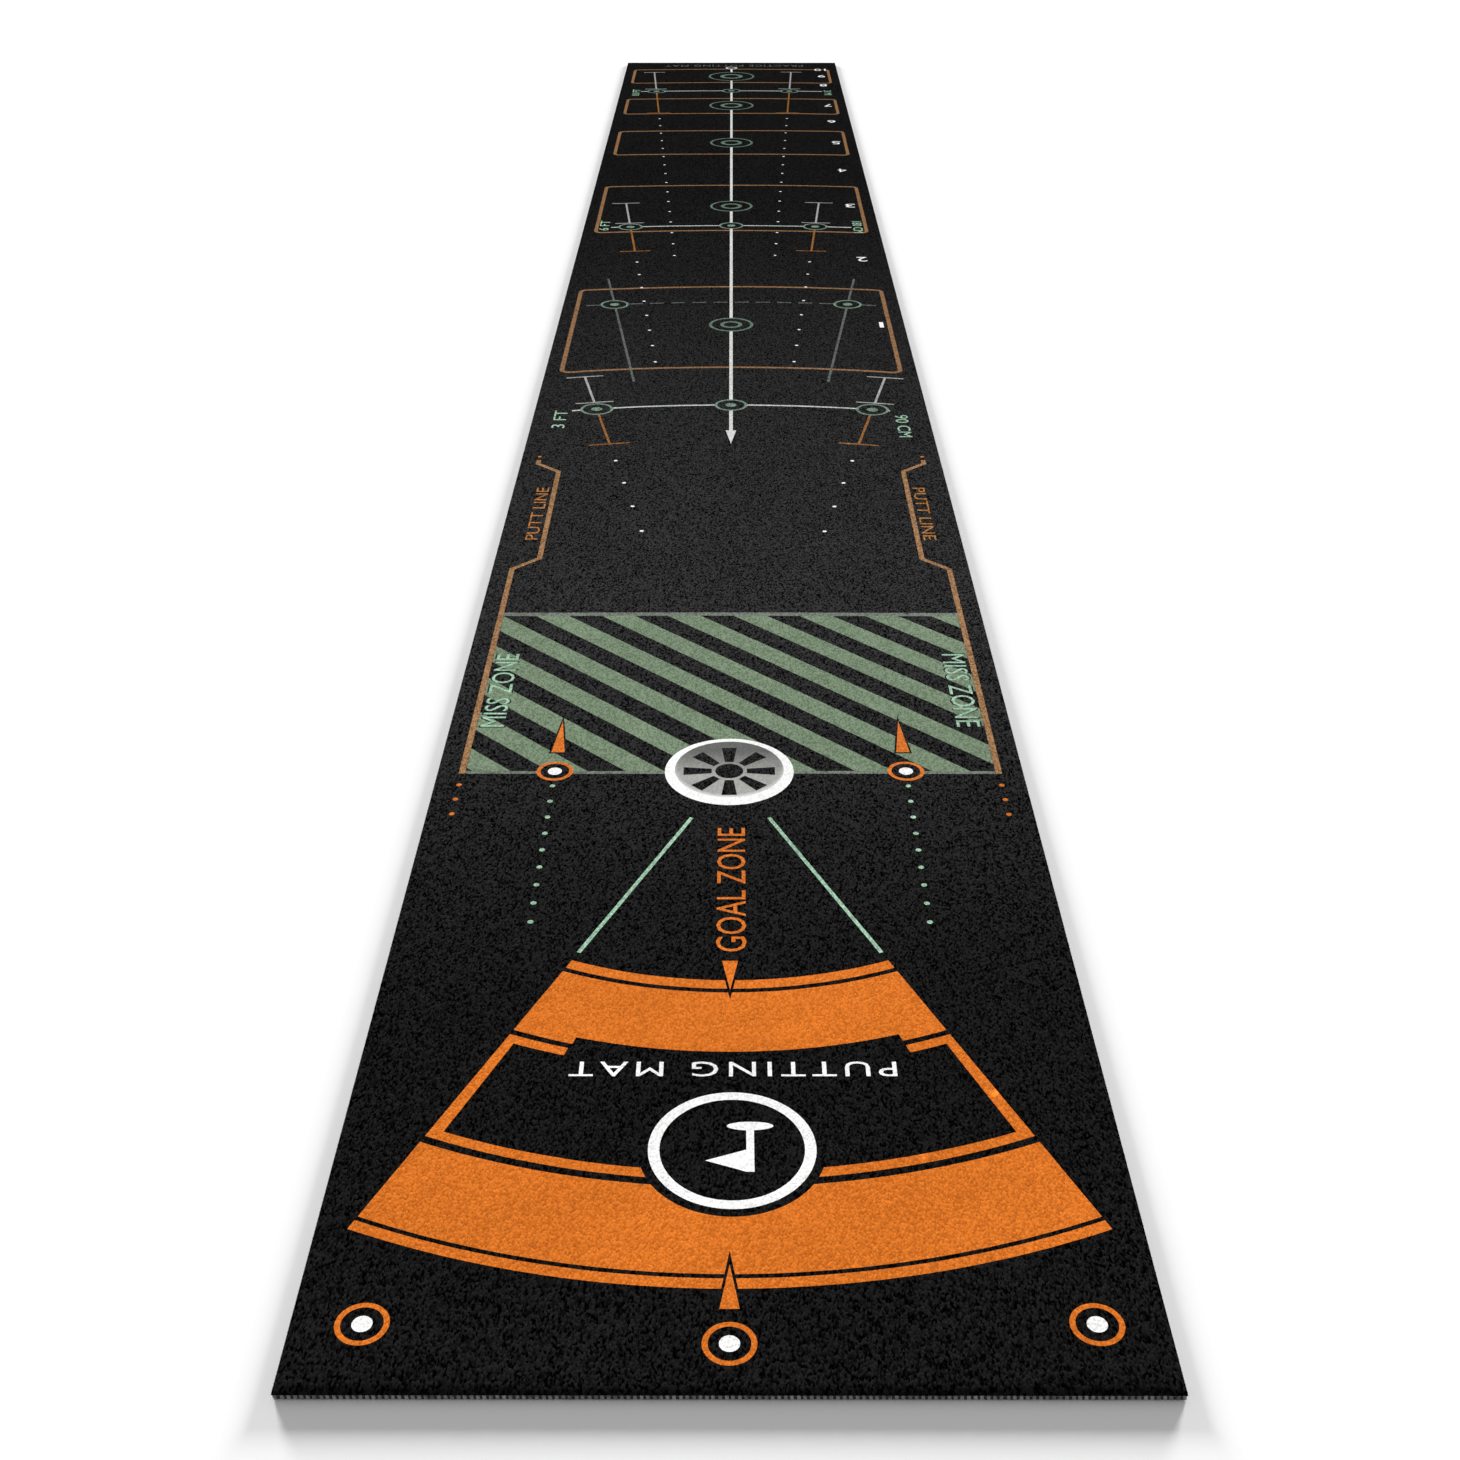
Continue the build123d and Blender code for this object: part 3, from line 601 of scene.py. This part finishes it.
def waffle_rubber():
    """Styrene-butadiene rubber pressed on a waffle plate: matt near-black with a dimple every 4 mm, and
    a dusty bloom in patches about 60 mm wide."""
    made, tree, place, shader = finish("pressed_sbr_rubber")
    scaled = add(tree, "Mapping", {"Vector": place, "Scale": (math.pi / (4 * MM),) * 3})
    axes = add(tree, "SeparateXYZ", {"Vector": scaled.outputs["Vector"]})
    waves = [add(tree, "Math", {0: axes.outputs[k]}, operation="SINE").outputs[0] for k in ("X", "Y")]
    waffle = add(tree, "Math", {0: waves[0], 1: waves[1]}, operation="MULTIPLY")
    dimple = add(tree, "Math", {0: waffle.outputs[0], 1: waffle.outputs[0]}, operation="MULTIPLY")
    grain = add(tree, "TexNoise", {"Vector": place, "Scale": 1 / (0.8 * MM), "Detail": 3.0})
    bloom = add(tree, "TexNoise", {"Vector": place, "Scale": 1 / (60 * MM), "Detail": 4.0})
    height = add(tree, "Math", {0: grain.outputs["Fac"], 1: 0.15, 2: dimple.outputs[0]},
                 operation="MULTIPLY_ADD")
    colour = add(tree, "Mix", {"Factor": bloom.outputs["Fac"], 6: linear("1b1b1c"), 7: linear("303032")},
                 data_type="RGBA")
    dull = add(tree, "MapRange", {"Value": grain.outputs["Fac"], "To Min": 0.55, "To Max": 0.85})
    bump = add(tree, "Bump", {"Height": height.outputs[0], "Strength": 0.8, "Distance": 0.5 * MM},
               invert=True)
    tree.links.new(colour.outputs[2], shader.inputs["Base Color"])
    tree.links.new(dull.outputs[0], shader.inputs["Roughness"])
    tree.links.new(bump.outputs["Normal"], shader.inputs["Normal"])
    return made


def woven_scrim():
    """Slit polypropylene tape in a plain weave, dark grey and faintly glossy, its tapes 1.4 mm wide."""
    made, tree, place, shader = finish("woven_polypropylene_tape")
    scaled = add(tree, "Mapping", {"Vector": place, "Scale": (1 / (2.8 * MM),) * 3})
    weave = add(tree, "TexChecker", {"Vector": scaled.outputs["Vector"], "Scale": 2.0,
                                     "Color1": linear("54544f"), "Color2": linear("3d3d3b")})
    fray = add(tree, "TexNoise", {"Vector": place, "Scale": 1 / (0.5 * MM), "Detail": 2.0})
    bump = add(tree, "Bump", {"Height": fray.outputs["Fac"], "Strength": 0.4, "Distance": 0.2 * MM})
    tree.links.new(weave.outputs["Color"], shader.inputs["Base Color"])
    tree.links.new(bump.outputs["Normal"], shader.inputs["Normal"])
    shader.inputs["Roughness"].default_value = 0.5
    return made


def filled_latex():
    """Filled latex precoat with carbon black in it: dull dark grey, with pores drawn 0.7 mm wide."""
    made, tree, place, shader = finish("filled_black_latex")
    pores = add(tree, "TexNoise", {"Vector": place, "Scale": 1 / (0.7 * MM), "Detail": 3.0})
    colour = add(tree, "Mix", {"Factor": pores.outputs["Fac"], 6: linear("222222"), 7: linear("363635")},
                 data_type="RGBA")
    bump = add(tree, "Bump", {"Height": pores.outputs["Fac"], "Strength": 0.4, "Distance": 0.2 * MM})
    tree.links.new(colour.outputs[2], shader.inputs["Base Color"])
    tree.links.new(bump.outputs["Normal"], shader.inputs["Normal"])
    shader.inputs["Roughness"].default_value = 0.8
    return made


black = cut_pile("black_nylon_cut_pile", "1f1f20", "010101", 0.5)
dyes = {
    "orange": cut_pile("dyed_cut_pile_orange", "e17a2c", "bf6320"),
    "dull_orange": cut_pile("dyed_cut_pile_dull_orange", "ad8157", "755538"),
    "tan": cut_pile("dyed_cut_pile_tan", "9c7450", "6a4d33"),
    "amber": cut_pile("dyed_cut_pile_amber", "c1813f", "855222"),
    "brown": cut_pile("dyed_cut_pile_brown", "a26a33", "6c451e"),
    "white": cut_pile("dyed_cut_pile_white", "ffffff", "e6e6e4"),
    "clean_white": cut_pile("dyed_cut_pile_clean_white", "dfe1de", "b9bbb8"),
    "soft_white": cut_pile("dyed_cut_pile_soft_white", "d2d7d3", "a4a8a5"),
    "silver": cut_pile("dyed_cut_pile_silver", "b2b2b0", "868684"),
    "ash": cut_pile("dyed_cut_pile_ash", "7b8279", "5b6158"),
    "slate": cut_pile("dyed_cut_pile_slate", "6a6e69", "404340"),
    "mint": cut_pile("dyed_cut_pile_mint", "abd2b6", "7fa089"),
    "dull_mint": cut_pile("dyed_cut_pile_dull_mint", "7f9888", "586a60"),
    "dim_mint": cut_pile("dyed_cut_pile_dim_mint", "6d8375", "4a5b50"),
    "sage": cut_pile("dyed_cut_pile_sage", "7e9278", "607059"),
}
disc_face = shaded_disc_pile()
thread = looper_thread()

# which dye each zone has, its material slot, and whether it stands for a node of the frame
ZONES = {
    "white_target_rim": ("white", "white_pile", True),
    "grey_target_face": ("face", "grey_pile", True),
    "white_roundel_ring": ("white", "white_pile", True),
    "white_roundel_flag": ("white", "white_pile", True),
    "white_ball_spots": ("white", "white_pile", True),
    "orange_ball_rings": ("orange", "orange_pile", True),
    "orange_pointers": ("orange", "orange_pile", True),
    "green_distance_marks": ("dull_mint", "mint_pile", True),
    "green_lane_marks": ("dim_mint", "mint_pile", True),
    "green_fan_marks": ("dull_mint", "mint_pile", True),
    "white_centre_arrow": ("clean_white", "white_pile", True),
    "white_gates": ("silver", "white_pile", True),
    "white_putt_dots": ("white", "white_pile", True),
    "white_distance_lines": ("soft_white", "white_pile", True),
    "orange_goal_bands": ("orange", "orange_pile", True),
    "orange_goal_lines": ("orange", "orange_pile", True),
    "green_aim_lines": ("mint", "mint_pile", True),
    "green_fan_rays": ("slate", "mint_pile", True),
    "grey_fan_dashes": ("slate", "grey_pile", True),
    "orange_side_lines": ("dull_orange", "orange_pile", True),
    "orange_lane_boxes": ("tan", "orange_pile", True),
    "orange_gates": ("brown", "orange_pile", True),
    "green_goal_dots": ("mint", "mint_pile", True),
    "orange_side_dots": ("orange", "orange_pile", True),
    "green_short_stripes": ("sage", "sage_pile", True),
    "grey_short_edges": ("ash", "sage_pile", True),
    "white_lettering": ("white", "white_pile", False),
    "orange_lettering": ("orange", "orange_pile", False),
    "orange_side_lettering": ("amber", "orange_pile", False),
    "green_lettering": ("mint", "mint_pile", False),
    "grey_lettering": ("slate", "grey_pile", False),
}


# --- the pile: one black piece, sunk where it is dyed, and a dyed cap in every zone --------------------
def black_pile(flat, top, triangles, zones):
    """The whole pile as one closed piece. Its top is the tip height, less the dye's depth where it is dyed,
    with a step along every zone's edge. Its underside is level, and higher where it lies on the stitches."""
    n = len(flat)
    dyed = zones != "pile"
    tips = np.column_stack([flat, top])
    sunk = np.column_stack([flat, top - (PILE_TOP - DYE_FOOT)])
    step, rim = borders(triangles[~dyed], n), borders(triangles, n)
    step = step[~np.isin(step[:, 0] * n + step[:, 1], rim[:, 0] * n + rim[:, 1])]
    steps = np.column_stack([step[:, 1] + n, step[:, 0] + n, step[:, 0] + 3 * n, step[:, 1] + 3 * n])
    follow, order = dict(rim.tolist()), [rim[0, 0]]
    while len(order) < len(rim):
        order.append(follow[order[-1]])
    outer, m = np.array(order), len(order)
    shrink = 1 - STITCH_REACH / np.array([HALF_WIDTH, HALF_LENGTH])
    rings = [np.column_stack([flat[outer] * scale, height]) for scale, height in
             ((1.0, top[outer]), (1.0, np.full(m, STITCH_TOP)), (shrink, np.full(m, STITCH_TOP)),
              (shrink, np.full(m, PILE_FOOT)))]
    points = np.concatenate([tips, tips, sunk, sunk] + rings)
    loops = [4 * n + k * m + np.arange(m) for k in range(4)]
    around_rim = [np.column_stack([np.roll(a, -1), a, b, np.roll(b, -1)]) for a, b in zip(loops, loops[1:])]
    faces = triangles[~dyed].tolist() + (triangles[dyed] + 2 * n).tolist() + steps.tolist()
    return points, faces + np.concatenate(around_rim).tolist() + [loops[-1][::-1].tolist()]


flat, triangles, zones = pile_map()
top = pile_height(flat)
points, faces = black_pile(flat, top, triangles, zones)
pile = new_piece("black_pile", points, faces, black, len(triangles))
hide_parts("pile_face")
for name, (dye, slot, is_node) in ZONES.items():
    cap = block(name + ("_cap" if is_node else ""), flat, top, triangles[zones == name], DYE_FOOT,
                disc_face if dye == "face" else dyes[dye])
    if is_node:
        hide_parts(name)


# --- the overlocked edge -------------------------------------------------------------------------------
def strands(paths, across, width, thick):
    """Flattened threads: a six-cornered ellipse carried along each path, closed by a flat cap at each end.
    The section's wide axis runs along the mat's edge, and the other one is square to the path."""
    n_path, n_point = paths.shape[:2]
    n = 6
    t = np.linspace(0, 2 * math.pi, n, endpoint=False) + math.pi / n
    way = np.gradient(paths, axis=1)
    way /= np.linalg.norm(way, axis=2)[..., None]
    lift = np.cross(np.broadcast_to(across, way.shape), way)
    lift /= np.linalg.norm(lift, axis=2)[..., None]
    points = (paths[:, :, None] + np.cos(t)[:, None] * across * width / 2 +
              np.sin(t)[:, None] * lift[:, :, None] * thick / 2)
    k, j = np.meshgrid(np.arange(n_point - 1), np.arange(n), indexing="ij")
    skin = np.stack([k * n + j, (k + 1) * n + j, (k + 1) * n + (j + 1) % n, k * n + (j + 1) % n], -1)
    start = (np.arange(n_path) * n_point * n)[:, None, None]
    quads = (skin.reshape(-1, 4) + start).reshape(-1, 4).tolist()
    caps = np.stack([np.arange(n), np.arange(n)[::-1] + (n_point - 1) * n])
    return points.reshape(-1, 3), quads + (caps + start).reshape(-1, n).tolist()


def sewn_edge(side):
    """All looper stitches of one edge. An upper one is a path from the needle line out over the edge and a
    little way back below it, and a lower one runs along the underside. Both repeat at one pitch, each a
    little off its place and leaning a little along the edge."""
    across = side in ("left", "right")
    sign = -1.0 if side in ("left", "goal") else 1.0
    half, run = (HALF_WIDTH, HALF_LENGTH) if across else (HALF_LENGTH, HALF_WIDTH)
    count = int(round(2 * run / STITCH_PITCH))
    at = (np.arange(count) + 0.5) * 2 * run / count - run
    at = at + RANDOM.uniform(-STITCH_WANDER, STITCH_WANDER, count)
    # each thread's path, as distance in from the edge and height, then its width and its thickness
    profiles = {
        "upper_looper": (np.array([(5.2, 4.05), (3.0, 4.1), (1.2, 4.05), (0.45, 3.5), (0.38, 2.2), (0.5, 0.9),
                                   (1.3, 0.35)]), 2.3, 0.7),
        "lower_looper": (np.array([(0.9, 0.3), (2.6, 0.25), (4.9, 0.3)]), 1.3, 0.45),
    }
    for thread_name, (profile, width, thick) in profiles.items():
        paths = np.zeros((count, len(profile), 3))
        lean = RANDOM.normal(0, 0.1, count)[:, None] + np.linspace(0, 0.5, len(profile))
        depth = sign * (half - profile[:, 0] - RANDOM.uniform(-0.06, 0.06, (count, 1)))
        paths[:, :, 0 if across else 1] = depth
        limit = run - CORNER_ROOM
        paths[:, :, 1 if across else 0] = np.clip(at[:, None] + lean, -limit, limit)
        paths[:, :, 2] = profile[:, 1]
        axis = np.array([0.0, 1.0, 0.0]) if across else np.array([1.0, 0.0, 0.0])
        points, faces = strands(paths, axis, width, thick)
        if (sign > 0) != across:
            faces = [face[::-1] for face in faces]
        piece = new_piece(f"{side}_{thread_name}_stitches", points, faces, thread)
        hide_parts(f"{side}_edge_{thread_name}")


def rim_tufts(spacing=1.3):
    """Yarn ends that stick out over the stitches all round: slim three-sided spikes. Each has its foot just
    inside the rim and its tip a little further out, at a random height and lean."""
    runs = [np.arange(-half + spacing, half, spacing) for half in (HALF_WIDTH, HALF_LENGTH)]
    ends = [np.column_stack([runs[0], np.full(len(runs[0]), sign * HALF_LENGTH), np.zeros(len(runs[0])),
                             np.full(len(runs[0]), sign)]) for sign in (-1.0, 1.0)]
    sides = [np.column_stack([np.full(len(runs[1]), sign * HALF_WIDTH), runs[1], np.full(len(runs[1]), sign),
                              np.zeros(len(runs[1]))]) for sign in (-1.0, 1.0)]
    spots = np.concatenate(ends + sides)
    n = len(spots)
    out = np.column_stack([spots[:, 2:], np.zeros(n)])
    along = np.column_stack([-spots[:, 3], spots[:, 2], np.zeros(n)])
    up = np.array([0.0, 0.0, 1.0])
    foot = np.column_stack([spots[:, :2], RANDOM.uniform(4.7, 5.1, n)]) - 0.5 * out
    foot += along * RANDOM.uniform(-0.5, 0.5, (n, 1))
    tip = foot + out * RANDOM.uniform(0.45, 0.95, (n, 1)) + along * RANDOM.uniform(-0.4, 0.4, (n, 1))
    tip += up * RANDOM.uniform(-0.4, 0.45, (n, 1))
    corners = [foot + along * 0.35 - up * 0.2, foot - along * 0.35 - up * 0.2, foot + up * 0.4, tip]
    points = np.stack(corners, 1).reshape(-1, 3)
    faces = np.array([(0, 2, 1), (0, 1, 3), (1, 2, 3), (2, 0, 3)]) + 4 * np.arange(n)[:, None, None]
    return new_piece("rim_tufts", points, faces.reshape(-1, 3).tolist(), black, 1)


for side in SIDES:
    sewn_edge(side)
rim_tufts()

for node, material in (("rubber_backing", waffle_rubber()), ("latex_coat", filled_latex()),
                       ("primary_scrim", woven_scrim())):
    bpy.data.objects[node].material_slots[0].material = material
for side in SIDES:
    bpy.data.objects[side + "_edge_needle_thread"].material_slots[0].material = thread


# --- floor, light and camera ---------------------------------------------------------------------------
FLOOR_REACH = 60.0
SKY_LIGHT, SKY_LOOK = 0.40, 0.97
LAMP_TURNS, LAMP_TILT, LAMP_SPREAD, LAMP_POWER = (-25, 25), -82.8, 14, 8.8
CAMERA_AT, CAMERA_TILT, CAMERA_TURN, CAMERA_LENS = (0.001, -2.700, 0.8195), 60.39, 0.057, 45.75


def studio():
    """A white floor, an even sky that looks white and lights softly, and two low soft lamps beyond the far
    corners."""
    mesh = bpy.data.meshes.new("floor")
    corners = oblong(-FLOOR_REACH, FLOOR_REACH, -FLOOR_REACH, FLOOR_REACH)
    mesh.from_pydata([(*corner, 0) for corner in corners], [], [(0, 1, 2, 3)])
    paper, _, _, shader = finish("white_paper_floor")
    shader.inputs["Base Color"].default_value = linear("fafafa")
    shader.inputs["Roughness"].default_value = 1.0
    shader.inputs["Specular IOR Level"].default_value = 0.0
    mesh.materials.append(paper)
    floor = bpy.data.objects.new("floor", mesh)
    bpy.context.scene.collection.objects.link(floor)
    sky = bpy.data.worlds.new("studio")
    sky.use_nodes = True
    tree = sky.node_tree
    seen = add(tree, "LightPath", {}).outputs["Is Camera Ray"]
    glow = add(tree, "MapRange", {"Value": seen, "To Min": SKY_LIGHT, "To Max": SKY_LOOK})
    tree.nodes["Background"].inputs["Color"].default_value = (1, 1, 1, 1)
    tree.links.new(glow.outputs[0], tree.nodes["Background"].inputs["Strength"])
    bpy.context.scene.world = sky
    for turn in LAMP_TURNS:
        lamp = bpy.data.lights.new("low_soft_lamp", "SUN")
        lamp.angle, lamp.energy = math.radians(LAMP_SPREAD), LAMP_POWER
        lamp_object = bpy.data.objects.new("low_soft_lamp", lamp)
        lamp_object.rotation_euler = (math.radians(LAMP_TILT), 0, math.radians(turn))
        bpy.context.scene.collection.objects.link(lamp_object)


def camera():
    """Stands over the goal end and looks down the mat's length."""
    data = bpy.data.cameras.new("camera")
    data.lens, data.sensor_width = CAMERA_LENS, 36.0
    data.clip_end = 100.0
    made = bpy.data.objects.new("camera", data)
    made.location = CAMERA_AT
    made.rotation_euler = (math.radians(CAMERA_TILT), 0, math.radians(CAMERA_TURN))
    bpy.context.scene.collection.objects.link(made)
    bpy.context.scene.camera = made


studio()
camera()
bpy.context.scene.view_settings.view_transform = "Standard"
